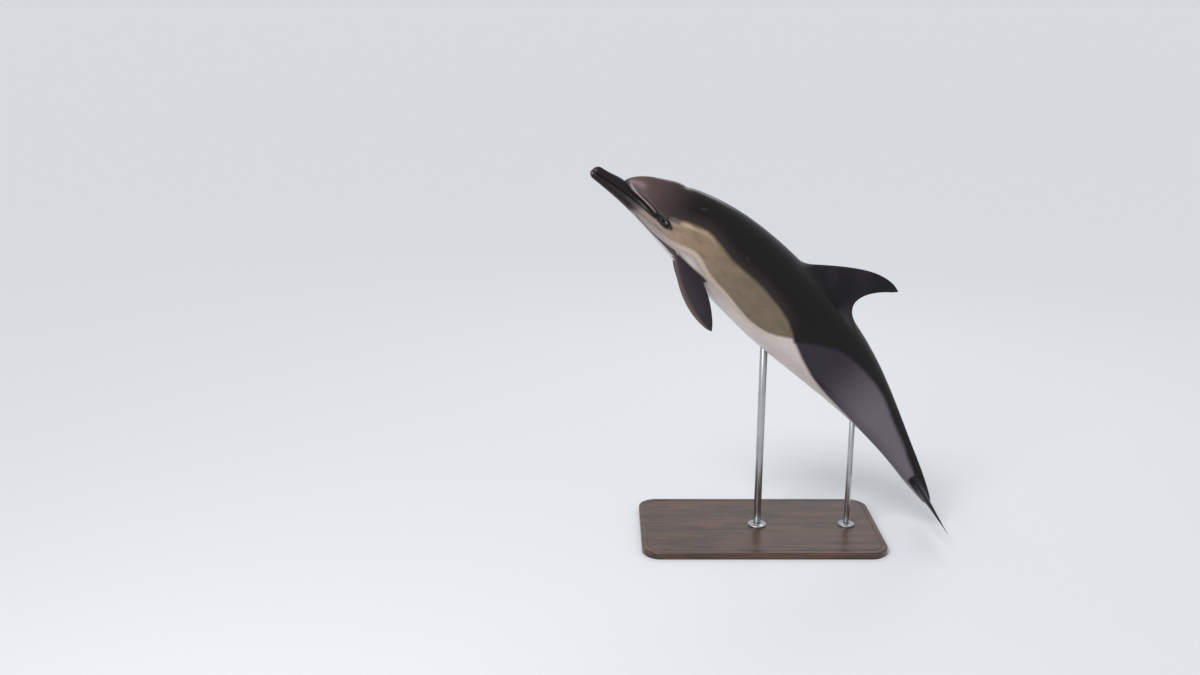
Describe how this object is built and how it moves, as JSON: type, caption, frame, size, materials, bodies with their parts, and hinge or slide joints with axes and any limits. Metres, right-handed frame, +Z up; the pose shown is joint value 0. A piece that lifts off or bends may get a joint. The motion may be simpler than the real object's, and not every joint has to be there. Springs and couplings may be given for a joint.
{
  "type": "common dolphin display model",
  "caption": "Life-size common dolphin leaping head up, with dorsal fin, flippers and flukes, held over a flat base by upright rods.",
  "frame": {"origin": "middle of the stand base's underside", "axes": "+Z up, -X towards the dolphin's snout, -Y towards its left flank"},
  "size_m": [1.5022, 0.56, 1.6041],
  "materials": {
    "skin_dark": "wet satin skin, dark brown-black cape, fins and tail",
    "skin_tan": "wet satin skin, tan flank patch",
    "skin_pale": "wet satin skin, pale throat and belly",
    "eye": "polished, dark brown-black",
    "stand_wood": "dark stained, satin",
    "stand_steel": "brushed"
  },
  "bodies": {
    "root": {"upper_beak": "skin_dark", "lower_jaw": "skin_pale", "head": "skin_dark", "chest": "skin_tan", "abdomen": "skin_tan", "tail_stock": "skin_dark", "dorsal_fin": "skin_dark", "flipper_left": "skin_dark", "flipper_right": "skin_dark", "fluke_left": "skin_dark", "fluke_right": "skin_dark", "eye_left": "eye", "eye_right": "eye", "stand_base": "stand_wood", "stand_rod_front": "stand_steel", "stand_rod_rear": "stand_steel", "stand_flange_front": "stand_steel", "stand_flange_rear": "stand_steel"}
  },
  "joints": []
}
